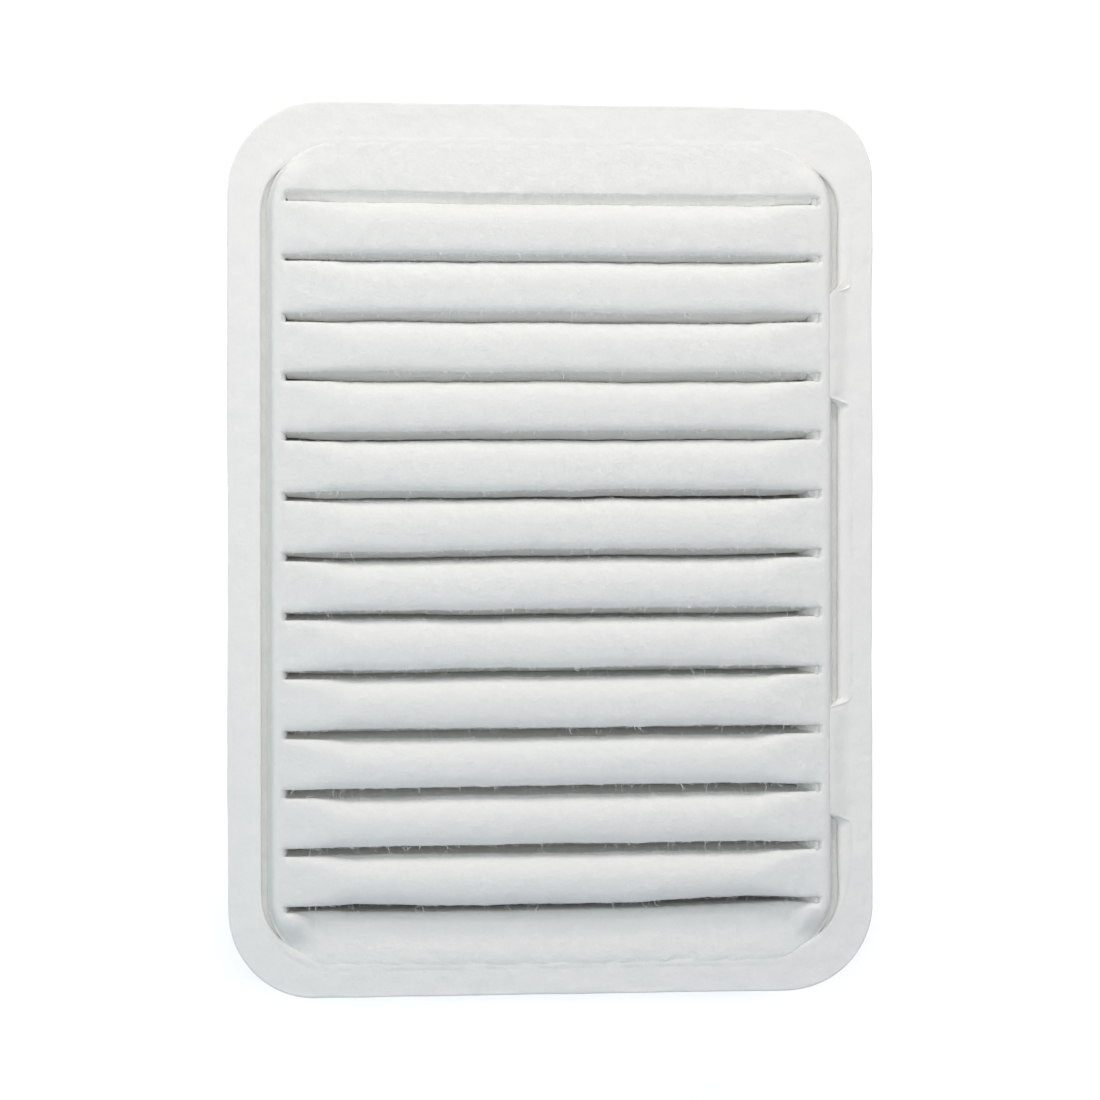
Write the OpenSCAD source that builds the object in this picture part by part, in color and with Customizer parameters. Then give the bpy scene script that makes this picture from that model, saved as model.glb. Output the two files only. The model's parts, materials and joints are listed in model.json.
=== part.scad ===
// Panel air filter: a pleated felt medium hung in a flat felt sealing rim.
// X is the width, along the pleats. Y is the length, across the pleats. Z is up.
// The origin is on the plane of the lower pleat tips, under the middle of the rim.

/* [Rim] */
// Width of the sealing rim, along the pleats
rim_w = 208; // [204:1:240]
// Length of the sealing rim, across the pleats
rim_l = 285; // [284:1:320]
// Height of the rim's upper face above the lower pleat tips
rim_z = 46; // [36:1:60]
// Outer corner radii, anticlockwise from the +X +Y corner
rim_radii = [22, 30, 28, 28];
// Thickness of the compressed base ply
base_ply_t = 1.1; // [0.8:0.1:2]

/* [Pleats] */
// Number of narrow slots in the upper side
slots = 13; // [13:1:13]
// Distance from one slot to the next
pitch = 18.8; // [18.2:0.1:19]
// Width of a slot
slot_w = 3.4; // [2:0.1:4]
// Length of a slot, which is the width of the pleated medium
pleat_w = 171; // [160:1:171]
// How far the pleat crests stand above the rim
crest_rise = 4; // [1:0.5:6]
// Outer radius of the crest shoulders
shoulder_r = 3.2; // [3:0.1:4]

/* [Medium] */
// Thickness of the open, dust-holding layer on the upper side
coarse_t = 1.2; // [0.8:0.1:1.2]
// Thickness of the middle layer
middle_t = 0.9; // [0.6:0.1:0.9]
// Thickness of the dense layer on the lower side
fine_t = 0.6; // [0.3:0.1:0.6]

/* [Side bands] */
// Thickness of the band that closes the pleat ends
band_t = 2.6; // [1.5:0.1:2.6]
// Width of the groove between the pleats and the rim
groove_w = 4.8; // [3:0.1:4.8]
// Thickness of the band's foot, which runs under the rim
foot_t = 0.9; // [0.6:0.1:1.4]
// How far the foot reaches under the rim
foot_reach = 4; // [2:0.5:6]

/* [Hidden] */

felt = [0.94, 0.95, 0.94];
dense_felt = [0.86, 0.87, 0.87];
hot_melt = [0.90, 0.87, 0.78];

// Adhesive: a seam on the pleat ends and a film between the rim's plies
glue_t = 0.3;
bond_t = 0.3;
// Clearance between the base ply and the pleated pack, and the corner radius of that opening
pack_gap = 0.2;
pack_opening_r = 0.4;
// Upper edge and lower edge of the side bands
band_top_drop = 2.4;
band_lift = 0.6;
// Thickness of the coarse layer where it is pressed over the band's upper edge
shoulder_t = 1.6;
// Segments in a shoulder's quarter turn, a pleat tip's half turn and a rim corner
shoulder_steps = 5;
tip_steps = 8;
corner_steps = 12;

medium_t = coarse_t + middle_t + fine_t;
crest_z = rim_z + crest_rise;
first_slot_y = (slots - 1) / 2 * pitch;
crest_half = (pitch - slot_w) / 2;
tip_z = slot_w / 2 + medium_t;
pack_end_y = first_slot_y + slot_w / 2 + medium_t;
pleat_x = pleat_w / 2;
band_in_x = pleat_x + glue_t;
band_out_x = band_in_x + band_t;
band_top_z = crest_z - band_top_drop;

// The medium lies flat on the rim's base ply beyond the first and last slots
flap_in_y = first_slot_y + slot_w / 2 + shoulder_r + 1;
flap_out_y = 131.3;
// The rim's opening lies this far to the -Y side of the pleats' middle
opening_shift = 1.5;
bond_z = rim_z - medium_t - bond_t;
base_z = bond_z - base_ply_t;
top_ply_z = rim_z - medium_t;
opening_x = band_out_x + groove_w;
opening_r = 24;
flap_r = opening_r - groove_w;
foot_y = flap_out_y - opening_shift - opening_r;
foot_z = top_ply_z + foot_t;

// The rim is pressed flush with the pleated pack along two stretches of the right side
bridges = [[47.8, 83.1], [-86.3, -50.0]];

// Points along an arc of radius r about (y, z)
function arc(y, z, r, from, to, steps) = [
    for (i = [0:steps])
        let (a = from + (to - from) * i / steps)
        [y + r * cos(a), z + r * sin(a)]
];

// One fold of the medium at a depth d below its upper surface: down into the slot at y
// and up onto the crest beyond it
function slot_turn(y, d) = arc(y, tip_z, slot_w / 2 + d, 0, -180, tip_steps);
function crest_turn(y, d) = concat(
    arc(y + crest_half - shoulder_r, crest_z - shoulder_r, shoulder_r - d, 0, 90, shoulder_steps),
    arc(y - crest_half + shoulder_r, crest_z - shoulder_r, shoulder_r - d, 90, 180, shoulder_steps)
);
function flap_turn(side, d) = let (y = side * (first_slot_y + slot_w / 2 + shoulder_r))
    arc(y, rim_z - shoulder_r, shoulder_r - d, 90, 90 + side * 90, shoulder_steps);
function slot_y(i) = first_slot_y - i * pitch;
function reversed(list) = [for (i = [len(list) - 1:-1:0]) list[i]];
function joined(lists) = [for (list = lists) for (point = list) point];

// The whole pleated line at depth d, from the +Y flap to the -Y flap
function pleat_line(d) = concat(
    [[flap_in_y, rim_z - d]],
    flap_turn(1, d),
    joined([
        for (i = [0:slots - 1])
            i < slots - 1
                ? concat(slot_turn(slot_y(i), d), crest_turn(slot_y(i) - pitch / 2, d))
                : slot_turn(slot_y(i), d)
    ]),
    reversed(flap_turn(-1, d)),
    [[-flap_in_y, rim_z - d]]
);

// A rounded rectangle of half sizes hx and hy, its radii anticlockwise from the +X +Y corner
function rounded(hx, hy, radii) = concat(
    arc(hx - radii[0], hy - radii[0], radii[0], 0, 90, corner_steps),
    arc(-hx + radii[1], hy - radii[1], radii[1], 90, 180, corner_steps),
    arc(-hx + radii[2], -hy + radii[2], radii[2], 180, 270, corner_steps),
    arc(hx - radii[3], -hy + radii[3], radii[3], 270, 360, corner_steps)
);

// The outline of a flap that reaches out_y: straight at the pleats, rounded at the rim's corners
function flap_outline(out_y) =
    let (x = band_out_x - flap_r, y = out_y - flap_r, start = asin((flap_in_y - y) / flap_r))
    concat(
        arc(x, y, flap_r, start, 90, corner_steps),
        arc(-x, y, flap_r, 90, 180 - start, corner_steps)
    );

// The pleated sheet between depths d1 and d2, over the width w
module pleated_sheet(d1, d2, w) {
    rotate([90, 0, 90])
        linear_extrude(height = w, center = true)
            polygon(concat(pleat_line(d1), reversed(pleat_line(d2))));
}

// The two flat ends of a layer
module flaps(d1, d2) {
    for (side = [0, 1])
        mirror([0, side, 0])
            translate([0, 0, rim_z - d2])
                linear_extrude(height = d2 - d1)
                    polygon(flap_outline(flap_out_y - opening_shift + 2 * side * opening_shift));
}

module media_layer(d1, d2) {
    pleated_sheet(d1, d2, pleat_w);
    flaps(d1, d2);
}

module media_coarse_layer() {
    color(felt)
        union() {
            media_layer(0, coarse_t);
            for (side = [0, 1])
                mirror([side, 0, 0])
                    translate([pleat_x, -first_slot_y, band_top_z])
                        cube([band_out_x - pleat_x, 2 * first_slot_y, shoulder_t]);
        }
}

module media_middle_layer() {
    color(felt)
        media_layer(coarse_t, coarse_t + middle_t);
}

module media_fine_layer() {
    color(dense_felt)
        media_layer(coarse_t + middle_t, medium_t);
}

// An L-shaped band: a wall on the pleat ends and a foot that runs out under the rim
module side_band() {
    color(dense_felt)
        union() {
            translate([band_in_x, -pack_end_y, band_lift])
                cube([band_t, 2 * pack_end_y, band_top_z - band_lift]);
            translate([band_out_x, -foot_y, top_ply_z])
                cube([groove_w + foot_reach, 2 * foot_y, foot_t]);
        }
}

module left_side_band() {
    mirror([1, 0, 0])
        side_band();
}

module right_side_band() {
    side_band();
}

// A bead of adhesive on the end of every fold
module glue_seam() {
    color(hot_melt)
        intersection() {
            translate([pleat_x + glue_t / 2, 0, 0])
                pleated_sheet(0, medium_t, glue_t);
            translate([pleat_x - 1, -pack_end_y, band_lift])
                cube([3, 2 * pack_end_y, band_top_z - band_lift]);
        }
}

module left_glue_seam() {
    mirror([1, 0, 0])
        glue_seam();
}

module right_glue_seam() {
    glue_seam();
}

// A flat ring with the rim's outline outside and the given outline, moved by -shift, inside
module rim_ring(z, t, inside, shift) {
    translate([0, 0, z])
        linear_extrude(height = t)
            difference() {
                polygon(rounded(rim_w / 2, rim_l / 2, rim_radii));
                translate([0, -shift])
                    polygon(inside);
            }
}

module flange_top_ply() {
    color(felt)
        difference() {
            union() {
                rim_ring(
                    top_ply_z, rim_z - top_ply_z,
                    rounded(opening_x, flap_out_y, [opening_r, opening_r, opening_r, opening_r]),
                    opening_shift
                );
                for (b = bridges)
                    translate([band_out_x, b[0], foot_z])
                        cube([groove_w + 1, b[1] - b[0], rim_z - foot_z]);
            }
            for (side = [0, 1])
                mirror([side, 0, 0])
                    translate([opening_x - 1, -foot_y, top_ply_z - 1])
                        cube([foot_reach + 1, 2 * foot_y, foot_t + 1]);
        }
}

// The opening that the pleated pack hangs through
function pack_opening() = rounded(
    band_out_x + pack_gap, pack_end_y + pack_gap,
    [pack_opening_r, pack_opening_r, pack_opening_r, pack_opening_r]
);

module flange_base_ply() {
    color(dense_felt)
        rim_ring(base_z, base_ply_t, pack_opening(), 0);
}

module flange_bond() {
    color(hot_melt)
        rim_ring(bond_z, bond_t, pack_opening(), 0);
}

media_coarse_layer();
media_middle_layer();
media_fine_layer();
left_side_band();
right_side_band();
left_glue_seam();
right_glue_seam();
flange_top_ply();
flange_base_ply();
flange_bond();
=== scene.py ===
"""Looks of a moulded felt panel air filter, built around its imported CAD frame."""

import json
import math

import bpy
import numpy as np
from mathutils import Euler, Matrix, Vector


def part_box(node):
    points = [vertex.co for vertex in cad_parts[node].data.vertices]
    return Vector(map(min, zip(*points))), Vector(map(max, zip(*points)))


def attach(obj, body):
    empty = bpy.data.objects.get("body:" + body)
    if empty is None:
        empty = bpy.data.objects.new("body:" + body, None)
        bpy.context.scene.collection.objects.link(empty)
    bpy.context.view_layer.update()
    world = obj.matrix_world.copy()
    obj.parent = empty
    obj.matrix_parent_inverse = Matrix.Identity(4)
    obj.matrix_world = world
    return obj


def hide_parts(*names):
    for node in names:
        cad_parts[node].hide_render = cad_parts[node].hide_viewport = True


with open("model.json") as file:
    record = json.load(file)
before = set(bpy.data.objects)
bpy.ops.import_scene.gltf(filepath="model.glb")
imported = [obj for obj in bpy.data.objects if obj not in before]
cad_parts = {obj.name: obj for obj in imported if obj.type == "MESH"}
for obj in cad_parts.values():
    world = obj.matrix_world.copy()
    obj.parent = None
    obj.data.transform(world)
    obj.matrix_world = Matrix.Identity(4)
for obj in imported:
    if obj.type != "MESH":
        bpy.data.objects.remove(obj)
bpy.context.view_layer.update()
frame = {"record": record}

MM = 0.001  # shapes are worked out in millimetres, in the frame's axes


# ------------------------------------------------------------------ sizes from the frame
def box_mm(node):
    """The lowest and highest corners of a CAD node, in millimetres."""
    low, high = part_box(node)
    return np.array(low) / MM, np.array(high) / MM


coarse_low, coarse_high = box_mm("media_coarse_layer")
middle_low, middle_high = box_mm("media_middle_layer")
fine_low, fine_high = box_mm("media_fine_layer")
band_low, band_high = box_mm("right_side_band")
seam_low, _ = box_mm("right_glue_seam")
top_ply_low, top_ply_high = box_mm("flange_top_ply")
base_ply_low, base_ply_high = box_mm("flange_base_ply")

RIM_X, RIM_Y, RIM_Z = top_ply_high
CREST_Z = coarse_high[2]
PLEAT_X = seam_low[0]  # where the slots end
PACK_X = coarse_high[0]  # outer face of the side bands
PACK_Y = band_high[1]  # outer face of the first and last folds
FLAP_Y = (coarse_high[1], -coarse_low[1])  # how far the flaps reach towards +Y and -Y
FOOT_X = band_high[0]
FOOT_LOW_Z = top_ply_low[2]

folds = sorted(
    (sum(corner[1] for corner in o["box_m"]) / 2 / MM for o in frame["record"]["physics"]["openings"]),
    reverse=True,
)
PITCH = (folds[0] - folds[-1]) / (len(folds) - 1)
SLOTS = len(folds) + 1
FIRST_SLOT_Y = folds[0] + PITCH / 2

# Depths of the layers' faces below the medium's upper surface
COARSE_D = CREST_Z - middle_high[2]
MIDDLE_D = CREST_Z - fine_high[2]
MEDIUM_T = MIDDLE_D + middle_low[2] - fine_low[2]
SLOT_HALF = PACK_Y - MEDIUM_T - FIRST_SLOT_Y
TIP_Z = SLOT_HALF + MEDIUM_T

# The groove at the pleat ends, and the rim's opening, which it surrounds
GROOVE_W = 4.8
GROOVE_FLOOR_Z = 43.65
OPENING_X = PACK_X + GROOVE_W
OPENING_R = 24.0
EDGE_GAP = 1.2  # between the flaps' edge and the rim's opening
EDGE_X = OPENING_X - EDGE_GAP
SHOULDER_EDGE = (EDGE_X - 0.8, EDGE_X - 1.0)  # foot of the pleats' shoulders at -X and +X
FLAP_R = OPENING_R - EDGE_GAP
OPENING_STRAIGHT_Y = (FLAP_Y[0] + FLAP_Y[1]) / 2 - OPENING_R
FOOT_SHIFT = (FLAP_Y[0] - FLAP_Y[1]) / 2
FOOT_TURN = math.radians(60)  # how far the groove's floor follows the opening's corners
FOOT_RUN = OPENING_STRAIGHT_Y + OPENING_R * FOOT_TURN
RIM_RADII = (22.0, 30.0, 28.0, 28.0)  # anticlockwise from the +X +Y corner
# Stretches of the right side, along Y, where the rim is pressed flush with the pleats
BRIDGES = ((47.8, 83.1), (-86.3, -50.0))
BRIDGE_RISE = 2.25  # how far the bridges rise to meet the pleats' shoulders

# Glue between the rim's plies, and the opening in the lower ones round the pleated pack
GLUE_T = 0.3
PACK_GAP = 0.2
PACK_OPENING_R = 0.4


# ------------------------------------------------------------------ smooth random variation
def smooth(t):
    """Ease from 0 at t = 0 to 1 at t = 1."""
    t = np.clip(t, 0.0, 1.0)
    return t * t * (3.0 - 2.0 * t)


def mix(a, b, t):
    """a at t = 0 and b at t = 1."""
    return a * (1.0 - t) + b * t


def wander(x, step, seed):
    """A smooth random line between -1 and 1, with a knot every step millimetres."""
    knots = np.random.default_rng(seed).uniform(-1, 1, 512)
    u = np.asarray(x, float) / step + 200.0
    i = np.floor(u).astype(int)
    f = smooth(u - i)
    return mix(knots[i % 512], knots[(i + 1) % 512], f)


def mottle(x, y, step, seed):
    """A smooth random surface between -1 and 1, with a knot every step millimetres."""
    size = 256
    knots = np.random.default_rng(seed).uniform(-1, 1, (size, size))
    u = np.asarray(x, float) / step + 100.0
    v = np.asarray(y, float) / step + 100.0
    i, j = np.floor(u).astype(int), np.floor(v).astype(int)
    f, g = smooth(u - i), smooth(v - j)
    i, j = i % size, j % size
    i1, j1 = (i + 1) % size, (j + 1) % size
    return mix(mix(knots[i, j], knots[i1, j], f), mix(knots[i, j1], knots[i1, j1], f), g)


# ------------------------------------------------------------------ the pleated sheet's shape
END_FADE = 22.0  # how far from its ends a crest reaches its full crown
END_TOP_Z = 48.9  # height of the crests' pressed ends
CREST_ROLL = (1.8, 4.6)  # height of the rolled part of a crest, at its ends and in the middle
CREST_POWER = 5.0  # squareness of a crest's section at its ends
CREST_EASE = 2.3  # how far a crest's points crowd towards its lips
# The roll of a crest on its +Y and -Y sides, for the first crest and the last: squareness, and
# height past the usual
LIP_POWER = {1: (2.0, 1.85), -1: (4.6, 2.3)}
LIP_EXTRA = {1: (-0.6, 3.0), -1: (-1.2, -0.4)}

# How far the slots' mouths lie to the -Y side of their places in the row: the first, how much
# more each next one, and how much less at the +X end
MOUTH_LEAN, MOUTH_LEAN_STEP, MOUTH_LEAN_SKEW = 1.7, 0.09, 0.9
TIP_LEAN = 2.1  # how far the tips lie to the +Y side of their places
FIRST_SHIFT = 1.3  # how far the first slot's mouth lies to the -Y side of its place
LAST_SAG = (0.9, 1.3)  # how far the last slot's does: at its -X end, and near its middle
LAST_SAG_X = -8.0  # where the second of those is in full
LAST_TIP_SHIFT = 1.2  # how far the last slot's tip lies to the -Y side of its place
LAST_SLOT_SHARE = 0.85  # the last slot's width, as a share of the others'
LOWER_LIP_IN = 0.4  # how much the slots are narrowed at their mouths, on the -Y side
SECOND_LIP_IN = 0.8  # how much the second slot is on the +Y side too
# How much of the first slot's width its +Y wall bows over, and of the last slot's. How deep down
# that is, for the two, and how much further down a wall is straight again.
PINCH = (1.03, 0.0)
PINCH_DEPTH = (1.1, 13.0)
PINCH_FADE = 22.0

FLAP_RISE = (1.6, -1.2)  # height of the +Y and -Y flaps beside their slots, above the rim
FLAP_ROLL = {1: (1.0, 0.9), -1: (3.6, 4.0)}  # width and height of the roll into the slot
FLAP_ROLL_END = 2.2  # the same two at the slots' ends
FLAP_CROWN = 0.16
FLAP_DIP = (0.16, 2.2)  # how far a flap's edge dips, and over which width
CORNER_RISE_W = 10.0  # how far from its slot a flap begins to rise to the crests' ends
CORNER_RISE_IN = 9.0  # how far inside the slots' ends it begins
CORNER_EDGE_D = 2.2  # depth of the sheet's edge below the rim where a groove begins to fade
# The roll from the crests' ends into the groove: distance out from the slots' ends, and share
# of the drop
SHOULDER = (
    (0.0, 0.0), (0.5, 0.0), (1.1, 0.0), (1.7, 0.0), (2.4, 0.002), (3.5, 0.03), (4.3, 0.10),
    (4.9, 0.26), (5.4, 0.52), (5.85, 0.8), (6.4, 1.0),
)
SHOULDER_LEVEL = 1.7  # how far out the crests' ends have come level
# The slope by which the medium comes up out of a slot at its -X end and +X end: how deep it
# begins, how far inside the slot's end, and how far beyond the end it is level with the crests
END_RAMP = {-1: (6.0, 0.5, 0.8), 1: (15.0, 4.2, 0.3)}
END_RAMP_STEEP = 12.0  # how steep the medium is further in


def end_fade(x):
    """0 at the slots' ends, and 1 where the crests have their full crown."""
    return smooth((PLEAT_X - np.abs(x)) / END_FADE)


def last_sag(x):
    """How far the last slot sags towards -Y."""
    end = 1.0 - smooth((x + PLEAT_X) / (2 * PLEAT_X))
    middle = smooth(1.5 - 1.5 * np.abs(x - LAST_SAG_X) / PLEAT_X)
    return LAST_SAG[0] * end + LAST_SAG[1] * middle


def free_share(i):
    """How much slot i leans: 1 for the middle of the row, and 0 for the two at the flaps."""
    return 1.0 - (abs(i - (SLOTS - 1) / 2) / ((SLOTS - 1) / 2)) ** 8


def lean(i, x):
    """How far slot i's mouth lies to the -Y side of its place in the row."""
    skew = MOUTH_LEAN_SKEW * (x + PLEAT_X) / (2 * PLEAT_X)
    shift = (MOUTH_LEAN + MOUTH_LEAN_STEP * i - skew) * free_share(i)
    if i == 0:
        shift = shift + FIRST_SHIFT
    if i == SLOTS - 1:
        shift = shift + last_sag(x)
    return shift


def slot_wall(i, side, x):
    """Y of a wall of slot i at its mouth, on the +Y side (1) or the -Y side (-1)."""
    middle = FIRST_SLOT_Y - i * PITCH - lean(i, x) + 0.2 * wander(x, 48, 10 + i)
    narrowing = 0.6 if i in (0, SLOTS - 1) else 0.25
    share = LAST_SLOT_SHARE if i == SLOTS - 1 else 1.0
    half = SLOT_HALF * share - narrowing * (1.0 - end_fade(x))
    half = half - (LOWER_LIP_IN if side < 0 else SECOND_LIP_IN * (i == 1))
    seed = 100 + 2 * i + (side > 0)
    rough = 0.26 * wander(x, 26, seed) + 0.12 * wander(x, 7, seed + 50) + 0.10 * wander(x, 2.1, seed + 90)
    return middle + side * np.maximum(half + rough * (0.35 + 0.65 * end_fade(x)), 0.9)


def tip_middle(i, x):
    """Y of the middle of slot i's tip."""
    shift = TIP_LEAN * free_share(i) - (LAST_TIP_SHIFT if i == SLOTS - 1 else 0.0)
    return FIRST_SLOT_Y - i * PITCH + shift + 0.3 * wander(x, 60, 300 + i)


def crest_top(j, x):
    """Height of crest j along its middle."""
    full = CREST_Z - 0.25 + 0.22 * wander(x, 55, 330 + j) + 0.06 * wander(x, 9, 360 + j)
    return mix(END_TOP_Z, full, end_fade(x))


def crest_roll(j, side, x, d):
    """Height of the rolled part of crest j on one side at depth d, and where it begins."""
    full = CREST_ROLL[1] + mix(*LIP_EXTRA[side], j / (SLOTS - 2))
    roll = np.maximum(mix(CREST_ROLL[0], full, end_fade(x)) - d, 0.35)
    return roll, crest_top(j, x) - d - roll


def flap_level(side, x, d):
    """Height of a flap where it rolls into its slot."""
    low = FLAP_RISE[0 if side > 0 else 1]
    return RIM_Z + mix(low, END_TOP_Z - RIM_Z, end_rise(0.0, 0.0, x)) - d


def flap_roll(side, x, d):
    """Width and height of the roll from a flap into its slot at depth d, and where it begins."""
    w, h = FLAP_ROLL[side]
    fade = end_fade(x)
    w, h = mix(FLAP_ROLL_END, w, fade) - d, np.maximum(mix(FLAP_ROLL_END, h, fade) - d, 0.35)
    return w, h, flap_level(side, x, d) - h


def flap_arc(side):
    """Y of the centre of the flap's rounded corners on that side, counted from the middle outwards."""
    return FLAP_Y[0 if side > 0 else 1] - FLAP_R


def wall_top_z(i, side, x, d):
    """Height at which a wall of slot i meets the crest or flap beyond it."""
    j = i - 1 if side > 0 else i
    if j < 0 or j > SLOTS - 2:
        return flap_roll(side, x, d)[2]
    return crest_roll(j, -side, x, d)[1]


def wall_point(i, side, t, x, d):
    """A point on a wall of slot i, from its mouth at t = 0 to its tip at t = 1."""
    top = slot_wall(i, side, x) + side * d
    tip = tip_middle(i, x) + side * (SLOT_HALF + d)
    z = mix(wall_top_z(i, side, x, d), TIP_Z, t)
    bow = 0.35 * math.sin(math.pi * t) * wander(x, 70, 400 + 2 * i + (side > 0))
    if side > 0:
        bow = bow - pinch(i, t * (RIM_Z - TIP_Z), x)
    return mix(top, tip, smooth(t)) + bow, z


def pinch(i, depth, x):
    """How far the +Y wall of slot i bows over the slot, so deep below its mouth."""
    k = i / (SLOTS - 1)
    deepest = mix(*PINCH_DEPTH, k**0.8)
    bow = min(depth / deepest, 1.0) ** 1.35 * (1.0 - smooth((depth - deepest) / PINCH_FADE))
    at_end = mix(1.0, 0.8, min(4 * k, 1.0))
    gap = slot_wall(i, 1, x) - slot_wall(i, -1, x)
    along = mix(at_end, 1.0, smooth((PLEAT_X - np.abs(x)) / 14.0))
    return gap * mix(*PINCH, k**3.2) * bow * along


def tip_point(i, t, x, d):
    """A point on the round tip of slot i, from its +Y side at t = 0 to its -Y side at t = 1."""
    angle = -math.pi * t
    r = SLOT_HALF + d
    return tip_middle(i, x) + r * math.cos(angle), TIP_Z + r * math.sin(angle) + 0 * x


def crest_point(j, t, x, d):
    """A point on crest j, from its +Y foot at t = 0 to its -Y foot at t = 1."""
    high, low = slot_wall(j, -1, x) - d, slot_wall(j + 1, 1, x) + d
    half, middle = (high - low) / 2, (high + low) / 2
    c = math.cos(math.pi * t)
    side = 1 if c > 0 else -1
    s = math.copysign(abs(c) ** (2 / CREST_EASE), c)
    power = mix(CREST_POWER, mix(*LIP_POWER[side], j / (SLOTS - 2)), end_fade(x))
    roll, base = crest_roll(j, side, x, d)
    y = middle + half * s
    rise = roll * np.maximum(1.0 - abs(s) ** power, 0.0) ** (1 / power)
    lumps = 0.09 * mottle(x, y, 3.1, 500 + j) + 0.07 * mottle(x, y, 9.0, 520 + j)
    return y, base + rise + lumps * (1.0 - abs(s) ** 4)


def flap_edge(side, x):
    """Y at which the flap begins to roll into its slot."""
    width = mix(FLAP_ROLL_END, FLAP_ROLL[side][0], end_fade(x))
    return slot_wall(0 if side > 0 else SLOTS - 1, side, x) + side * width


def flap_roll_point(side, t, x, d):
    """A point on the roll from a flap at t = 0 down to its slot's wall at t = 1."""
    i = 0 if side > 0 else SLOTS - 1
    width, roll, base = flap_roll(side, x, d)
    angle = math.pi / 2 * t
    y = slot_wall(i, side, x) + side * (d + width * (1.0 - math.sin(angle)))
    return y, base + roll * math.cos(angle)


def flap_point(side, t, x, d):
    """A point on a flap, from its edge at t = 0 to where it rolls into its slot at t = 1."""
    inner = flap_edge(side, x)
    start = np.arcsin(np.clip((side * inner - flap_arc(side)) / FLAP_R, -1, 1))
    angle = mix(math.pi / 2, start, t)
    y = side * (flap_arc(side) + FLAP_R * np.sin(angle))
    reach = FLAP_Y[0 if side > 0 else 1]
    way = np.clip((reach - side * y) / (reach - side * inner), 0, 1)
    lumps = 0.10 * mottle(x, y, 4.0, 540) + 0.10 * mottle(x, y, 13.0, 541)
    crown = FLAP_CROWN * np.sin(np.pi * np.minimum(way * 1.6, 1.0))
    dip = FLAP_DIP[0] * (1.0 - smooth((reach - side * y) / FLAP_DIP[1]))
    z = mix(RIM_Z + 0.05, RIM_Z + FLAP_RISE[0 if side > 0 else 1], smooth(way)) + crown - dip
    z = z + lumps * smooth(t * 4)
    return y, mix(z, END_TOP_Z, end_rise(side * y, side * inner, x)) - d


def end_rise(y, inner, x):
    """How far a flap has risen to the level of the crests' ends, which it meets beside its slot."""
    near_end = smooth((np.abs(x) - PLEAT_X + CORNER_RISE_IN) / CORNER_RISE_IN)
    return smooth(1.0 - (y - inner) / CORNER_RISE_W) * near_end


def half_width(y):
    """Half the width of the sheet at y, which narrows round the flaps' corners, and how far round
    a corner y is."""
    side = np.where(y > 0, FLAP_Y[0], FLAP_Y[1]) - FLAP_R
    past = np.clip((np.abs(y) - side) / FLAP_R, 0.0, 1.0)
    return EDGE_X - FLAP_R * (1.0 - np.sqrt(1.0 - past**2)), past


def sheet_rows(flap_n, roll_n, wall_n, tip_n, crest_n):
    """Rows over the sheet from the +Y flap to the -Y flap: (kind, index, t, way across the slot)."""
    rows = [("flap", 1, t, None) for t in np.linspace(0, 1, flap_n)]
    rows += [("roll", 1, t, None) for t in np.linspace(0, 1, roll_n + 1)[1:-1]]
    count = 2 * wall_n + tip_n
    for i in range(SLOTS):
        down = [("wall+", i, t**1.6) for t in np.linspace(0, 1, wall_n + 1)]
        tip = [("tip", i, t) for t in np.linspace(0, 1, tip_n + 1)[1:-1]]
        up = [("wall-", i, t**1.6) for t in np.linspace(1, 0, wall_n + 1)]
        rows += [row + (k / count,) for k, row in enumerate(down + tip + up)]
        if i < SLOTS - 1:
            rows += [("crest", i, t, None) for t in np.linspace(0, 1, crest_n + 1)[1:-1]]
    rows += [("roll", -1, t, None) for t in np.linspace(1, 0, roll_n + 1)[1:-1]]
    rows += [("flap", -1, t, None) for t in np.linspace(1, 0, flap_n)]
    return rows


def row_point(row, x, d):
    """Y and Z of a row's points at depth d."""
    kind, i, t, _ = row
    if kind == "flap":
        return flap_point(i, t, x, d)
    if kind == "roll":
        return flap_roll_point(i, t, x, d)
    if kind == "tip":
        return tip_point(i, t, x, d)
    if kind == "crest":
        return crest_point(i, t, x, d)
    return wall_point(i, 1 if kind == "wall+" else -1, t, x, d)


def end_ramp(x, d):
    """Height of the slope that closes the slots' ends."""
    depth, inside, beyond = (np.where(x > 0, b, a) for a, b in zip(END_RAMP[-1], END_RAMP[1]))
    way = np.clip((PLEAT_X + beyond - np.abs(x)) / (inside + beyond), 0.0, 1.0)
    over = np.maximum(PLEAT_X - inside - np.abs(x), 0.0)
    return END_TOP_Z - d - depth * way**1.6 - over * END_RAMP_STEEP


def across_slot(row, x, d):
    """Y of a row where its slot is closed: as far across the slot as the row has come."""
    plus_wall, minus_wall = (slot_wall(row[1], side, x) + side * d for side in (1, -1))
    return mix(plus_wall, minus_wall, row[3])


def shoulder(row, x, y, z, d, drop):
    """The points of a row beyond its end at x, rolling down into the groove."""
    out = np.array([point[0] for point in SHOULDER])
    top = END_TOP_Z - d
    level = z if row[0] == "flap" else mix(z, top, smooth(out / SHOULDER_LEVEL))
    if row[3] is not None:
        y = across_slot(row, x, d)
        edge = mix(top - CREST_ROLL[0], top, smooth(out / SHOULDER_LEVEL))
        ramp = end_ramp(np.sign(x) * (PLEAT_X + out), d)
        level = np.minimum(mix(edge, ramp, math.sin(math.pi * row[3]) ** 0.5), edge)
    lumps = 0.08 * wander(y, 6.0, 560 + (x > 0)) * smooth(drop * 3) * (1 - drop)
    return np.full(len(drop), y), level - (level - GROOVE_FLOOR_Z - 0.1) * drop + lumps


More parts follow.
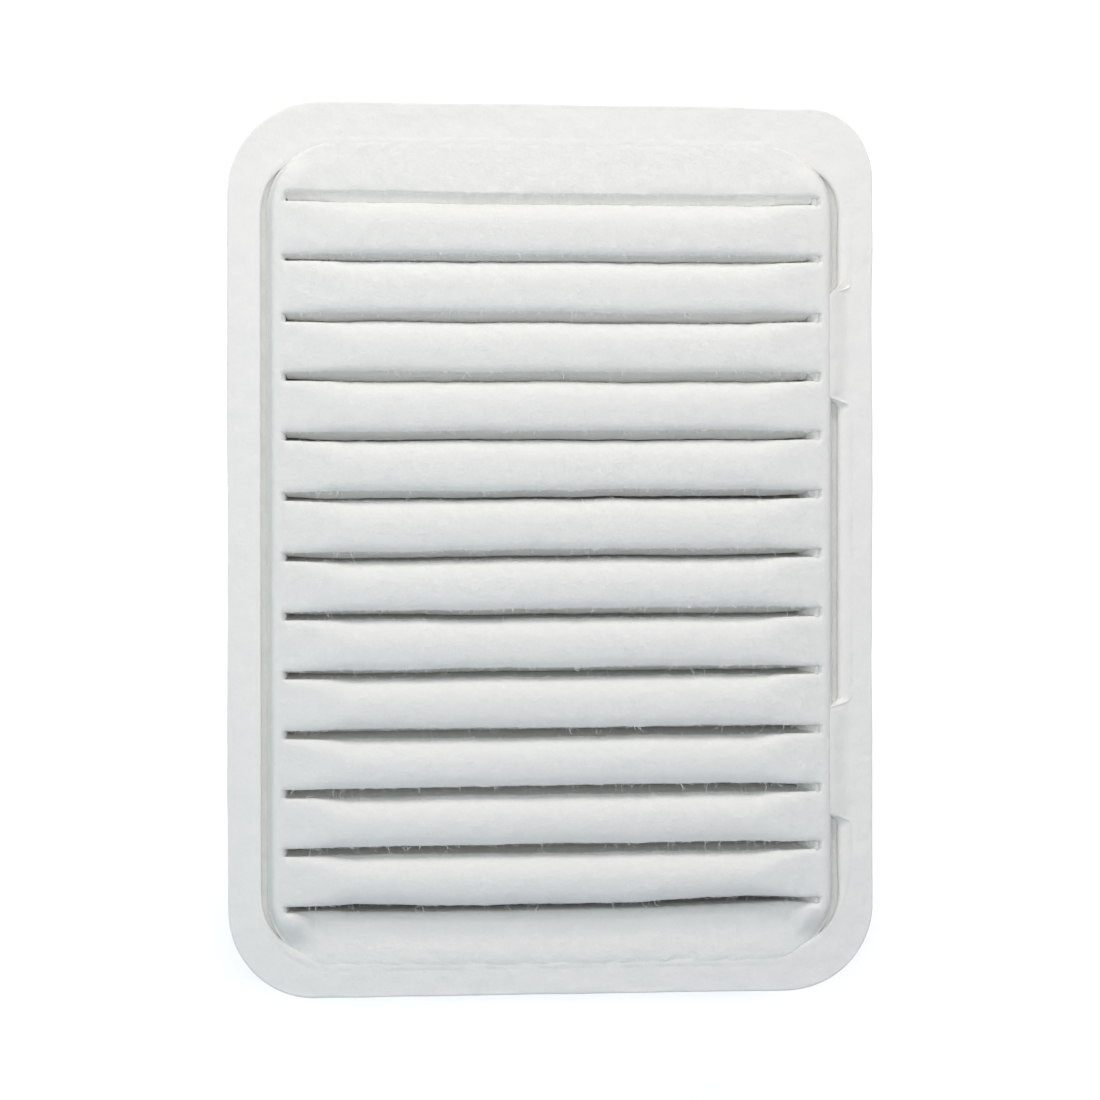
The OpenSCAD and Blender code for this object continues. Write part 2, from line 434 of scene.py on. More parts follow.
def sheet_points(rows, x, d, shoulders, closed_x=0.0):
    """The grid of points of the medium's surface at depth d. With shoulders, its slots are closed
    off at closed_x and its ends roll down into the grooves."""
    out, drop = (np.array(v) for v in zip(*(SHOULDER if shoulders else ((0, 0),))))
    n = len(out) if shoulders else 0
    out, drop = out[:n], drop[:n]
    inward = 0.75 * d * smooth(drop * 3) * (1 - 0.6 * drop)
    reach = out / SHOULDER[-1][0]
    left_x, right_x = (closed_x + reach * (edge - closed_x) - inward for edge in SHOULDER_EDGE)
    px = np.concatenate([-left_x[::-1], x, right_x])
    grid = np.zeros((len(rows), len(px), 3))
    for r, row in enumerate(rows):
        y, z = (v + 0 * x for v in row_point(row, x, d))
        if shoulders and row[3] is not None:
            # Near its ends a slot has a floor that slopes up to them
            lift = end_ramp(x, d) - z
            y = np.where(lift > 0, mix(y, across_slot(row, x, d), smooth(lift / 2.5)), y)
            z = np.where(lift > 0, end_ramp(x, d), z)
        if shoulders:
            left, right = (shoulder(row, x[k], y[k], z[k], d, drop) for k in (0, -1))
            y = np.concatenate([left[0][::-1], y, right[0]])
            z = np.concatenate([left[1][::-1], z, right[1]])
        width, past = half_width(y)
        grid[r] = np.stack([px * width / EDGE_X, y, z], axis=1)
    if shoulders:
        # Round the flaps' corners the groove fades away, and the edge comes up to the rim
        width, past = half_width(grid[..., 1])
        weight = np.zeros(len(px))
        weight[:n], weight[-n:] = drop[::-1], drop
        lift = RIM_Z - CORNER_EDGE_D + 2.0 * smooth(past * 1.1) - d
        grid[..., 2] = mix(grid[..., 2], np.maximum(grid[..., 2], lift), smooth(past * 4) * weight)
    return grid


# ------------------------------------------------------------------ meshes
def new_object(name, points, faces, sharp=50.0):
    """A mesh object from points in millimetres, smooth but for edges sharper than sharp degrees."""
    mesh = bpy.data.meshes.new(name)
    mesh.from_pydata((np.asarray(points).reshape(-1, 3) * MM).tolist(), [], faces)
    mesh.update()
    mesh.shade_smooth()
    mesh.set_sharp_from_angle(angle=math.radians(sharp))
    obj = bpy.data.objects.new(name, mesh)
    bpy.context.scene.collection.objects.link(obj)
    return obj


def grid_faces(ids, flip=False):
    """Four-sided faces between the rows and columns of a grid of point numbers."""
    a, b, c, d = ids[:-1, :-1], ids[1:, :-1], ids[1:, 1:], ids[:-1, 1:]
    quads = np.stack([d, c, b, a] if flip else [a, b, c, d], axis=-1)
    return quads.reshape(-1, 4).tolist()


def closed_rows(ids):
    """The same grid of point numbers with its first column again after the last."""
    return np.concatenate([ids, ids[:, :1]], axis=1)


def kept(count, every, ends):
    """Numbers below count: all of the first and last few, and every so many between."""
    return sorted({*range(ends), *range(ends, count - ends, every), *range(count - ends, count)})


def edge_faces(fine, coarse, keep, flip):
    """Faces between a line of points and a sparser one, which has a point at each kept number."""
    faces = []
    for k, (a, b) in enumerate(zip(keep[:-1], keep[1:])):
        face = [fine[a], coarse[k], coarse[k + 1]] + [fine[i] for i in range(b, a, -1)]
        faces.append([int(i) for i in (face[::-1] if flip else face)])
    return faces


def felt_sheet(name, seen, hidden, keep_rows, keep_columns, flip):
    """A closed sheet between the grid of its seen side and the sparser grid of its hidden side."""
    top = np.arange(seen[..., 0].size).reshape(seen.shape[:2])
    bottom = top.size + np.arange(hidden[..., 0].size).reshape(hidden.shape[:2])
    faces = grid_faces(top, flip) + grid_faces(bottom, not flip)
    faces += edge_faces(top[:, 0], bottom[:, 0], keep_rows, flip)
    faces += edge_faces(top[:, -1], bottom[:, -1], keep_rows, not flip)
    faces += edge_faces(top[0], bottom[0], keep_columns, not flip)
    faces += edge_faces(top[-1], bottom[-1], keep_columns, flip)
    return new_object(name, np.concatenate([seen.reshape(-1, 3), hidden.reshape(-1, 3)]), faces)


def medium_layer(name, seen_d, hidden_d, rows, x, shoulders=False):
    """One layer of the medium, between two depths."""
    ends = len(SHOULDER) if shoulders else 0
    keep_rows = kept(len(rows), 2, 1)
    keep_columns = kept(len(x) + 2 * ends, 6, ends + 1)
    seen = sheet_points(rows, x, seen_d, shoulders, PLEAT_X + 0.04)
    hidden = sheet_points(rows, x, hidden_d, shoulders, PLEAT_X + 0.25)
    hidden = hidden[np.ix_(keep_rows, keep_columns)]
    layer = felt_sheet(name, seen, hidden, keep_rows, keep_columns, seen_d > hidden_d)
    return layer


# ------------------------------------------------------------------ the rim
CORNER_N = 40
SIDE_N = (300, 110, 220, 110)


def loop(half_x, half_y, radii, shift_y=0.0, side_n=SIDE_N, corner_n=CORNER_N):
    """Points and outward normals round a rounded rectangle, anticlockwise from its -Y +X corner."""
    signs = ((1, 1), (-1, 1), (-1, -1), (1, -1))
    spots, normals = [], []
    for k, (sx, sy) in enumerate(signs):
        r = radii[k]
        turn = math.pi / 2 * k + np.linspace(0, math.pi / 2, corner_n)
        n = np.stack([np.cos(turn), np.sin(turn)], axis=1)
        spots.append(np.array([sx * (half_x - r), sy * (half_y - r)]) + r * n)
        normals.append(n)
    points, outward = [], []
    for k in range(4):
        a, b = spots[k - 1][-1], spots[k][0]
        t = np.linspace(0, 1, side_n[k] + 2)[1:-1, None]
        points += [a + (b - a) * t, spots[k]]
        outward += [np.repeat(normals[k][:1], side_n[k], axis=0), normals[k]]
    points, outward = np.concatenate(points), np.concatenate(outward)
    points[:, 1] += shift_y
    return points, outward


def rim_outline():
    """The rim's outer outline, which is not quite true."""
    points, normals = loop(RIM_X, RIM_Y, RIM_RADII)
    s = np.cumsum(np.linalg.norm(np.diff(points, axis=0, prepend=points[:1]), axis=1))
    ease = smooth(s / 40) * smooth((s[-1] - s) / 40)
    wobble = 0.18 * wander(s, 36, 600) + 0.10 * wander(s, 11, 601)
    top_dip = 0.55 * np.exp(-(((points[:, 0] - 72) / 14) ** 2)) * (points[:, 1] > 0)
    return points + normals * ((wobble - 0.15) * ease - top_dip)[:, None], normals


def bridge(y, soften=3.8):
    """1 along the bridges, and 0 elsewhere."""
    return sum(smooth((y - a) / soften + 0.5) * smooth((b - y) / soften + 0.5) for a, b in BRIDGES)


def rim_top_ply():
    """The rim's upper ply, from its inner edge over its face and round under it."""
    outer, outer_n = rim_outline()
    inner, inner_n = loop(OPENING_X, (FLAP_Y[0] + FLAP_Y[1]) / 2, (OPENING_R,) * 4, FOOT_SHIFT)
    x, y = inner[:, 0], inner[:, 1]
    # Over the bridges the ply reaches inwards to the pleats
    reach = bridge(y) * (x > 0) * (GROOVE_W + 0.5)
    straight = (np.abs(inner_n[:, 0]) > 0.9999) * 1.0
    soft = np.where(x > 0, smooth(x / 40), 0.0) * smooth((118 - np.abs(y)) / 20)
    floor_z = GROOVE_FLOOR_Z - 0.05
    bottom_z = base_ply_high[2] + GLUE_T + 0.02
    under = mix(bottom_z, GROOVE_FLOOR_Z + 0.02, straight)
    lines = []

    def line(from_inner, from_outer, z):
        """One line round the ply: so far out from its inner edge, or in from its outer edge."""
        if from_outer is None:
            p = inner + inner_n * np.broadcast_to(from_inner, len(x))[:, None]
        else:
            p = outer - outer_n * np.broadcast_to(from_outer, len(x))[:, None]
        lines.append(np.column_stack([p, np.broadcast_to(z, len(x))]))

    pressed = bridge(y) * (x > 0)
    # At the +Y and -Y ends the ply runs on under the flap's edge, all but flush with it
    flush = smooth((np.abs(inner_n[:, 1]) - 0.35) / 0.55)
    for out, soft_out, flush_out, up in (
        (0.12, -0.45, -1.9, 0.0), (0.0, -0.6, -1.9, 0.25), (0.02, -0.5, -1.7, 0.5),
        (0.12, 0.1, -1.2, 0.78), (0.35, 1.5, -0.5, 0.93), (0.8, 3.6, 0.6, 1.0),
    ):
        z = mix(floor_z, RIM_Z + BRIDGE_RISE * pressed, mix(up, max(up, 0.88 + 0.12 * up), flush))
        line(mix(mix(out, soft_out, soft * (1 - pressed)), flush_out, flush) - reach, None, z)
    top_n = 20
    for k in range(1, top_n):
        a = inner + inner_n * (mix(mix(0.8, 3.6, soft * (1 - pressed)), 0.6, flush) - reach)[:, None]
        b = outer - outer_n * 0.6
        p = mix(a, b, k / top_n)
        z = RIM_Z + BRIDGE_RISE * pressed * smooth((OPENING_X + 3.4 - p[:, 0]) / 8.0)
        z = z - 0.10 + 0.11 * mottle(p[:, 0], p[:, 1], 5.0, 610)
        z = z + 0.07 * mottle(p[:, 0], p[:, 1], 2.3, 611)
        lines.append(np.column_stack([p, z]))
    for inset, drop in (
        (0.6, 0.04), (0.3, 0.13), (0.12, 0.3), (0.02, 0.6), (0.0, 1.3), (0.06, 2.2), (0.3, 2.66),
    ):
        line(0, inset, RIM_Z - drop)
    line(FOOT_X - OPENING_X + 0.15, None, bottom_z)
    line(FOOT_X - OPENING_X + 0.1, None, under)
    line(0.3, None, under)
    return ring_object("rim_upper_ply", lines)


def ring_object(name, lines):
    """A ring whose section is closed round the given lines."""
    grid = np.stack(lines)
    ids = np.arange(grid[..., 0].size).reshape(grid.shape[:2])
    ids = closed_rows(np.concatenate([ids, ids[:1]]))
    return new_object(name, grid, grid_faces(ids))


def flat_ring(name, low, high, inset, edge_r, seed):
    """A ring with the rim's outline, open round the pleated pack."""
    outer, outer_n = rim_outline()
    half_y, radii = PACK_Y + PACK_GAP - FIRST_SHIFT / 2, (PACK_OPENING_R,) * 4
    inner, inner_n = loop(PACK_X + PACK_GAP, half_y, radii, -FIRST_SHIFT / 2)
    inner[:, 1] -= last_sag(inner[:, 0]) * (inner[:, 1] < -PACK_Y + 0.3)
    mid = (low + high) / 2
    out_edge = [(inset, mid), (inset + 0.3 * edge_r, high - 0.3 * edge_r), (inset + edge_r, high)]
    lines = [np.column_stack([outer - outer_n * i, np.full(len(outer), z)]) for i, z in out_edge]
    for z, levels in ((high, (0.25, 0.5, 0.75)), (low, (0.75, 0.5, 0.25))):
        if z == low:
            lines += [np.column_stack([inner + inner_n * i, np.full(len(inner), v)])
                      for i, v in ((0.3, high), (0.0, high - 0.2), (0.0, low + 0.2), (0.3, low))]
        for t in levels:
            p = mix(outer - outer_n * (inset + edge_r), inner + inner_n * 0.3, t)
            rough = 0.05 * mottle(p[:, 0], p[:, 1], 4.0, seed) if z == low else 0.0
            lines.append(np.column_stack([p, z + rough + 0 * p[:, 0]]))
    out_edge = [(inset + edge_r, low), (inset + 0.3 * edge_r, low + 0.3 * edge_r)]
    lines += [np.column_stack([outer - outer_n * i, np.full(len(outer), z)]) for i, z in out_edge]
    return ring_object(name, lines[::-1])


# ------------------------------------------------------------------ side bands and glue
BAND_TOP_Z = 46.8
BAND_END_DROP = 3.8  # how far the bands' ends lie below their top, under the flaps


def foot_path(y, out):
    """Where the band's foot runs at the station y: straight beside the pleats, then round the
    corners of the rim's opening. out is how far it lies outside the opening's edge."""
    s = y * FOOT_RUN / PACK_Y
    r = OPENING_R + out
    turn = np.maximum(np.abs(s) - OPENING_STRAIGHT_Y, 0.0) / OPENING_R
    foot_y = np.where(turn > 0, OPENING_STRAIGHT_Y + r * np.sin(turn), np.abs(s)) * np.sign(s)
    return OPENING_X - OPENING_R + r * np.cos(turn), foot_y + FOOT_SHIFT, turn / FOOT_TURN


def side_band(name, side):
    """An L-shaped band: a wall on the pleat ends and a foot under the rim, which is the groove's floor."""
    in_x, wall_x = band_low[0] + 0.1, PACK_X
    y = np.linspace(-PACK_Y, PACK_Y, 301)
    wall = [(in_x, z) for z in (BAND_TOP_Z, 40.0, 30.0, 20.0, 10.0, 0.9)]
    wall += [(in_x + 0.3, 0.6), (wall_x - 0.4, 0.6), (wall_x, 1.0)]
    wall += [(wall_x, z) for z in (8.0, 16.0, 24.0, 32.0, 40.0, FOOT_LOW_Z - 0.4)]
    toe = FOOT_X - OPENING_X
    foot = [(-4.0, 0.0), (-2.0, 0.0), (toe - 0.2, 0.0), (toe, 0.5)]
    foot += [(out, 1.0) for out in (toe - 0.2, 2.0, 0.6, -0.1, -0.8, -1.5, -2.4, -4.8)]
    lines = []
    sink = BAND_END_DROP * smooth((np.abs(y) - PACK_Y + 10.0) / 7.0)
    for k, (px, pz) in enumerate(wall):
        bulge = 0.12 * wander(y, 9, 700 + k) - 0.08 if px == wall_x else 0.0
        lines.append(np.column_stack([px + bulge + 0 * y, y, pz - sink * (pz > RIM_Z)]))
    for k, (out, up) in enumerate(foot):
        x, foot_y, past = foot_path(y, out)
        rough = (0.07 * mottle(x, foot_y, 5, 720) + 0.04 * mottle(x, foot_y, 2, 740) - 0.08) * up
        z = FOOT_LOW_Z + (GROOVE_FLOOR_Z - FOOT_LOW_Z) * up + rough
        rise = 0.6 if out > -2.0 else -0.6
        lines.append(np.column_stack([x, foot_y, z + rise * smooth(past) * up]))
    lines.append(np.column_stack([PACK_X - 0.9 + 0 * y, y, 46.0 - sink]))
    lines.append(np.column_stack([PACK_X - 1.5 + 0 * y, y, BAND_TOP_Z - sink]))
    grid = np.stack(lines, axis=1) * np.array([side, 1, 1])
    ids = closed_rows(np.arange(grid[..., 0].size).reshape(grid.shape[:2]))
    faces = grid_faces(ids, flip=side > 0)
    ends = [list(map(int, ids[0, :-1])), list(map(int, ids[-1, :-1][::-1]))]
    faces += ends if side < 0 else [e[::-1] for e in ends]
    return new_object(name, grid, faces)


def glue_seam(name, side, rows):
    """A bead of adhesive in the corner between the pleat ends and the band, along every fold."""
    turns = np.linspace(0, 2 * math.pi, 9)[:-1]
    grid = np.zeros((len(rows), len(turns), 3))
    s = np.arange(len(rows))
    swell = 1.0 + 0.25 * wander(s, 3, 801 + side) + 0.2 * wander(s, 9, 803 + side)
    for r, row in enumerate(rows):
        for k, a in enumerate(turns):
            x = PLEAT_X - 0.05 + 0.42 * swell[r] * math.cos(a)
            y, z = row_point(row, side * x, MEDIUM_T - 0.1 + 0.75 * swell[r] * math.sin(a))
            grid[r, k] = side * x, y, max(z, seam_low[2])
    ids = closed_rows(np.arange(grid[..., 0].size).reshape(grid.shape[:2]))
    faces = grid_faces(ids, flip=side < 0)
    ends = [list(map(int, ids[0, :-1])), list(map(int, ids[-1, :-1][::-1]))]
    faces += ends if side > 0 else [e[::-1] for e in ends]
    return new_object(name, grid, faces)


# ------------------------------------------------------------------ loose fibres
def fibre_path(rng, start, heading, length, steps):
    """A curly line of points that wanders off from its start."""
    points = [np.array(start, float)]
    direction = np.array(heading, float)
    curl = rng.normal(0, 1, 3)
    for _ in range(steps):
        curl = 0.7 * curl + 0.5 * rng.normal(0, 1, 3)
        direction = direction + 0.45 * np.cross(direction, curl)
        direction = direction / np.linalg.norm(direction)
        points.append(points[-1] + direction * length / steps)
    return np.array(points)


def fibre_tubes(name, paths):
    """Thin three-sided tubes along the paths, each with its radius, closed at both ends."""
    vertices, faces = [], []
    for path, radius in paths:
        along = np.gradient(path, axis=0)
        across = np.cross(along, (0.31, 0.17, 0.94))
        across /= np.linalg.norm(across, axis=1)[:, None] + 1e-9
        up = np.cross(along, across)
        up /= np.linalg.norm(up, axis=1)[:, None] + 1e-9
        first = len(vertices)
        for p, a, u in zip(path, across, up):
            for k in range(3):
                turn = 2 * math.pi * k / 3
                vertices.append(p + radius * (a * math.cos(turn) + u * math.sin(turn)))
        for r in range(len(path) - 1):
            for k in range(3):
                a, b = first + 3 * r + k, first + 3 * r + (k + 1) % 3
                faces.append((a, b, b + 3, a + 3))
        last = first + 3 * (len(path) - 1)
        faces += [(first + 2, first + 1, first), (last, last + 1, last + 2)]
    return new_object(name, vertices, faces)


def loose_fibres(name, count):
    """Stray fibres that stand off the lips of the slots, and some on the crests."""
    rng = np.random.default_rng(900)
    paths = []
    for _ in range(count):
        i = int(rng.integers(0, SLOTS))
        side = int(rng.choice((-1, 1), p=(0.3, 0.7)))
        x = np.array([rng.uniform(-PLEAT_X + 2, PLEAT_X - 2)])
        on_flap = (i == 0 and side > 0) or (i == SLOTS - 1 and side < 0)
        if on_flap:
            y, z = flap_roll_point(side, float(rng.uniform(0.2, 0.9)), x, 0.0)
        else:
            j = i - 1 if side > 0 else i
            t = float(rng.uniform(0.0, 0.16))
            y, z = crest_point(j, 1.0 - t if side > 0 else t, x, 0.0)
        start = (x[0], y[0], z[0] - 0.05)
        heading = rng.normal(0, 1, 3) * (1.2, 0.5, 0.35) + (0, -side * 0.7, 0.25)
        length = float(rng.gamma(1.8, 0.6)) + 0.5
        path = fibre_path(rng, start, heading / np.linalg.norm(heading), length, 7)
        path[:, 2] = np.minimum(path[:, 2], CREST_Z + 0.35)
        paths.append((path, float(rng.uniform(0.03, 0.06))))
    return fibre_tubes(name, paths)


# ------------------------------------------------------------------ the pieces
fine_x = np.linspace(-PLEAT_X, PLEAT_X, 161)
plain_x = np.linspace(-PLEAT_X, PLEAT_X, 49)
under_x = np.linspace(-PLEAT_X, PLEAT_X, 101)
detailed_rows = sheet_rows(14, 6, 7, 4, 14)
plain_rows = sheet_rows(5, 3, 3, 4, 6)
under_rows = sheet_rows(6, 4, 5, 8, 8)

coarse = medium_layer("upper_felt_layer", 0.0, COARSE_D, detailed_rows, fine_x, True)
middle = medium_layer("middle_felt_layer", COARSE_D, MIDDLE_D, plain_rows, plain_x)
fine = medium_layer("lower_felt_layer", MEDIUM_T, MIDDLE_D, under_rows, under_x)
top_ply = rim_top_ply()
base_ply = flat_ring("rim_lower_ply", base_ply_low[2], base_ply_high[2], 0.1, 0.45, 620)
bond = flat_ring("rim_bond", base_ply_high[2], base_ply_high[2] + GLUE_T, 0.6, 0.12, 630)
bands = [side_band("left_band", -1), side_band("right_band", 1)]
seam_rows = [row for row in under_rows if row[0] in ("wall+", "wall-", "tip", "crest")]
seams = [glue_seam("left_glue_bead", -1, seam_rows), glue_seam("right_glue_bead", 1, seam_rows)]
fibres = loose_fibres("loose_fibres", 4000)

for piece, node, slot in (
    (fibres, "media_coarse_layer", "coarse_felt"),
    (coarse, "media_coarse_layer", "coarse_felt"),
    (middle, "media_middle_layer", "coarse_felt"),
    (fine, "media_fine_layer", "dense_felt"),
    (top_ply, "flange_top_ply", "rim_felt"),
    (base_ply, "flange_base_ply", "rim_felt"),
    (bond, "flange_bond", "hot_melt"),
    (bands[0], "left_side_band", "dense_felt"),
    (bands[1], "right_side_band", "dense_felt"),
    (seams[0], "left_glue_seam", "hot_melt"),
    (seams[1], "right_glue_seam", "hot_melt"),
):
    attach(piece, "root")
    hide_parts(node)


# ------------------------------------------------------------------ materials
class Nodes:
    """A material's node tree, with short calls for the nodes used here."""

    def __init__(self, name):
        self.material = bpy.data.materials.new(name)
        self.material.use_nodes = True
        self.tree = self.material.node_tree
        self.shader = self.tree.nodes["Principled BSDF"]
        self.coords = self.tree.nodes.new("ShaderNodeTexCoord").outputs["Object"]

    def node(self, kind, inputs=(), **settings):
        n = self.tree.nodes.new(kind)
        for key, value in settings.items():
            setattr(n, key, value)
        for key, value in dict(inputs).items():
            if isinstance(value, bpy.types.NodeSocket):
                self.tree.links.new(value, n.inputs[key])
            else:
                n.inputs[key].default_value = value
        return n

    def noise(self, vector, scale, detail=2.0, **more):
        inputs = {"Vector": vector, "Scale": scale, "Detail": detail, **more}
        return self.node("ShaderNodeTexNoise", inputs).outputs["Fac"]

    def math(self, operation, *values, clamp=False):
        n = self.node("ShaderNodeMath", enumerate(values), operation=operation, use_clamp=clamp)
        return n.outputs[0]

    def spread(self, value, low, high, to_low=0.0, to_high=1.0):
        inputs = {"Value": value, "From Min": low, "From Max": high, "To Min": to_low, "To Max": to_high}
        return self.node("ShaderNodeMapRange", inputs).outputs["Result"]

    def blend(self, factor, a, b):
        n = self.node("ShaderNodeMix", data_type="RGBA")
        for key, value in ((0, factor), (6, a), (7, b)):
            if isinstance(value, bpy.types.NodeSocket):
                self.tree.links.new(value, n.inputs[key])
            else:
                n.inputs[key].default_value = value if key == 0 else (*value, 1.0)
        return n.outputs[2]

    def bump(self, height, strength, distance, normal=None):
        n = self.node("ShaderNodeBump", {"Height": height, "Strength": strength, "Distance": distance})
        if normal is not None:
            self.tree.links.new(normal, n.inputs["Normal"])
        return n.outputs["Normal"]

    def finish(self, colour, roughness, normal, **fixed):
        for key, value in (("Base Color", colour), ("Roughness", roughness), ("Normal", normal)):
            if isinstance(value, bpy.types.NodeSocket):
                self.tree.links.new(value, self.shader.inputs[key])
            else:
                self.shader.inputs[key].default_value = value
        for key, value in fixed.items():
            self.shader.inputs[key.replace("_", " ")].default_value = value
        return self.material


def felt_fibres(n, thickness, length, curl):
    """Criss-crossed curly fibres: the crests of noise that is stretched in several directions."""
    swirl = {"Vector": n.coords, "Scale": 0.9 / length, "Detail": 1.0}
    swirl = n.node("ShaderNodeTexNoise", swirl).outputs["Color"]
    swirl = n.node("ShaderNodeVectorMath", {0: swirl, 1: (0.5, 0.5, 0.5)}, operation="SUBTRACT").outputs[0]
    swirl = {0: swirl, "Scale": curl * length}
    swirl = n.node("ShaderNodeVectorMath", swirl, operation="SCALE").outputs[0]
    bent = n.node("ShaderNodeVectorMath", {0: n.coords, 1: swirl}, operation="ADD").outputs[0]
    height = None
    for k, turn in enumerate(((0.0, 0.3, 0.2), (0.4, 0.1, 1.2), (-0.5, 0.9, 2.2))):
        turned = {"Vector": bent, "Rotation": turn}
        turned = n.node("ShaderNodeMapping", turned, vector_type="POINT").outputs[0]
        scale = (0.5 / length, 0.5 / thickness, 0.5 / thickness)
        stretched = n.node("ShaderNodeVectorMath", {0: turned, 1: scale}, operation="MULTIPLY").outputs[0]
        ridge = n.math("ABSOLUTE", n.math("SUBTRACT", n.noise(stretched, 1.0, 1.0), 0.5))
        ridge = n.spread(ridge, 0.0, 0.09, 1.0, 0.0)
        height = ridge if height is None else n.math("MAXIMUM", height, ridge)
    return height


def felt(name, light, dark, fibre, fuzz, cloud=0.006):
    """Bonded polyester felt: cloudy where it lies thick or thin, with single fibres on it."""
    n = Nodes(name)
    clouds = n.noise(n.coords, 1 / cloud, 3.0, Roughness=0.6)
    fine = n.noise(n.coords, 1 / 0.0011, 3.0, Roughness=0.65)
    fibres = felt_fibres(n, fibre, fibre * 12, 1.4)
    shade = n.math("ADD", n.spread(clouds, 0.3, 0.7, 0.0, 0.5), n.spread(fine, 0.3, 0.7, 0.0, 0.5))
    colour = n.blend(n.spread(shade, 0.1, 0.9), dark, light)
    colour = n.blend(n.math("MULTIPLY", fibres, 0.35), colour, tuple(min(1.0, c * 1.04) for c in light))
    height = n.math("ADD", n.math("MULTIPLY", fibres, 0.5), n.math("MULTIPLY", fine, 0.9))
    normal = n.bump(height, fuzz, 0.00035, n.bump(clouds, 0.35, 0.0012))
    rough = n.spread(fine, 0.3, 0.7, 0.88, 1.0)
    return n.finish(
        colour, rough, normal, Sheen_Weight=0.25, Sheen_Roughness=0.55, Specular_IOR_Level=0.2
    )


def pressed_felt(name, light, dark, grain):
    """Felt that was pressed hot: flatter, with some of its fibres fused. The grey of the colours it is
    given is painted shade, not its own tone.
    """
    n = Nodes(name)
    clouds = n.noise(n.coords, 1 / 0.005, 3.0, Roughness=0.6)
    fine = n.noise(n.coords, 1 / grain, 3.0, Roughness=0.7)
    fibres = felt_fibres(n, 0.00016, 0.0022, 1.2)
    shade = n.math("ADD", clouds, n.math("MULTIPLY", fine, 0.7))
    colour = n.blend(n.spread(shade, 0.65, 1.05), dark, light)
    height = n.math("ADD", n.math("MULTIPLY", fibres, 0.35), fine)
    normal = n.bump(height, 0.28, 0.00025, n.bump(clouds, 0.3, 0.001))
    rough = n.spread(fibres, 0.0, 1.0, 0.86, 0.68)
    return n.finish(colour, rough, normal, Sheen_Weight=0.1, Sheen_Roughness=0.5, Specular_IOR_Level=0.3)


def hot_melt(name):
    """Milky adhesive that set with a wavy skin."""
    n = Nodes(name)
    waves = n.noise(n.coords, 1 / 0.004, 2.0)
    pits = n.noise(n.coords, 1 / 0.0009, 2.0)
    colour = n.blend(n.spread(waves, 0.3, 0.7), (0.76, 0.71, 0.57), (0.86, 0.82, 0.70))
    normal = n.bump(n.math("ADD", waves, n.math("MULTIPLY", pits, 0.25)), 0.4, 0.0006)
    rough = n.spread(pits, 0.3, 0.7, 0.28, 0.42)
    return n.finish(colour, rough, normal, Specular_IOR_Level=0.5, Coat_Weight=0.15)


soft_white = felt("soft_white_felt", (0.914, 0.913, 0.882), (0.879, 0.879, 0.85), 0.00022, 0.45)
rim_white = felt("rim_white_felt", (0.935, 0.925, 0.895), (0.905, 0.897, 0.87), 0.00020, 0.35, 0.008)
# Darker than the other felt: painted shade, so the lit outer end faces of the pack, its underside and the
# rim's lower ply read dimmer
lower_felt_painted_shade = pressed_felt("fine_white_felt", (0.74, 0.745, 0.735), (0.68, 0.69, 0.68), 0.0008)
# Greyer than the other felt: painted shade for the groove, whose floor is the bands' foot
band_felt_painted_shade = pressed_felt("band_felt", (0.77, 0.775, 0.745), (0.71, 0.715, 0.685), 0.0009)
glue = hot_melt("set_hot_melt")
strand = Nodes("loose_fibre").finish(
    (0.93, 0.93, 0.91, 1.0), 0.6, (0.0, 0.0, 0.0), Sheen_Weight=0.3, Specular_IOR_Level=0.4
)

for piece, material in (
    (fibres, strand), (coarse, soft_white), (middle, soft_white), (fine, lower_felt_painted_shade),
    (top_ply, rim_white), (base_ply, lower_felt_painted_shade), (bond, glue),
    (bands[0], band_felt_painted_shade), (bands[1], band_felt_painted_shade), (seams[0], glue), (seams[1], glue),
):
    piece.data.materials.append(material)

floor_paper = Nodes("floor_paper")
paper_grain = floor_paper.noise(floor_paper.coords, 400.0, 3.0)
floor_white = floor_paper.finish(
    (0.95, 0.95, 0.95, 1.0), 0.9, floor_paper.bump(paper_grain, 0.05, 0.0005),
    Emission_Color=(1.0, 1.0, 1.0, 1.0), Emission_Strength=0.40,
)

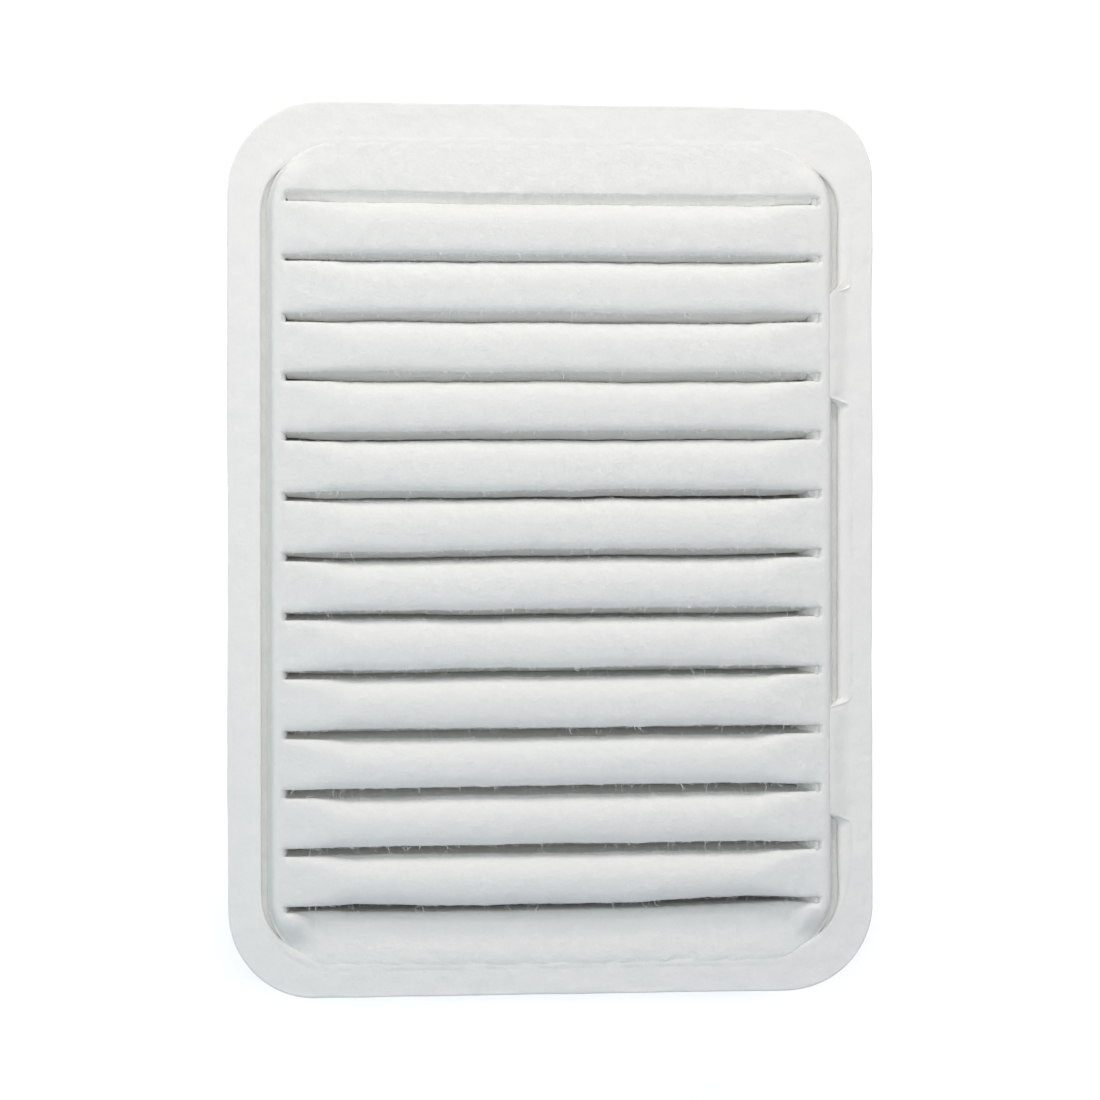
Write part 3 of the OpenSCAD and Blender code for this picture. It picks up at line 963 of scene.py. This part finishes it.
# ------------------------------------------------------------------ camera, lights, floor
cam = bpy.data.cameras.new("camera")
cam.sensor_width = 36
cam.lens = 118.7
cam.clip_start = 0.05
cam.clip_end = 20
camera = bpy.data.objects.new("camera", cam)
camera.location = (-0.1421, 0.0089, 1.196)
camera.rotation_euler = Euler((-0.0077, -0.1220, -0.0008), "XYZ")
bpy.context.scene.collection.objects.link(camera)
bpy.context.scene.camera = camera


def area_light(name, place, aim, size, power, colour):
    """A rectangular lamp at a place, turned towards a point."""
    data = bpy.data.lights.new(name, "AREA")
    data.shape = "RECTANGLE"
    data.size, data.size_y = size
    data.energy = power
    data.color = colour
    lamp = bpy.data.objects.new(name, data)
    lamp.location = place
    lamp.rotation_euler = (Vector(aim) - Vector(place)).to_track_quat("-Z", "Y").to_euler()
    bpy.context.scene.collection.objects.link(lamp)


area_light("key", (0, -0.02, 1.15), (0, 0, 0.04), (1.2, 0.30), 5.75, (0.985, 1.0, 0.985))
area_light("top_end", (0, 0.63, 0.37), (0, 0, 0.04), (0.9, 0.25), 3.35, (1.0, 0.95, 0.90))
area_light("bottom_end", (0, -0.65, 0.30), (0, 0, 0.04), (0.9, 0.25), 0.56, (0.60, 0.80, 1.0))
area_light("left", (-0.7, 0, 0.45), (0, 0, 0.04), (0.3, 0.9), 1.45, (0.80, 0.98, 1.0))
area_light("right", (0.7, 0, 0.45), (0, 0, 0.04), (0.3, 0.9), 0.55, (0.92, 1.0, 0.98))
world = bpy.data.worlds.new("world")
bpy.context.scene.world = world
world.use_nodes = True
world.node_tree.nodes["Background"].inputs["Color"].default_value = (0.72, 0.74, 1, 1)
world.node_tree.nodes["Background"].inputs["Strength"].default_value = 0.12

bpy.context.scene.view_settings.view_transform = "Standard"

floor_mesh = bpy.data.meshes.new("floor")
floor_mesh.from_pydata([(-3, -3, 0), (3, -3, 0), (3, 3, 0), (-3, 3, 0)], [], [(0, 1, 2, 3)])
floor = bpy.data.objects.new("floor", floor_mesh)
bpy.context.scene.collection.objects.link(floor)
floor.location.z = -0.0006
floor_mesh.materials.append(floor_white)
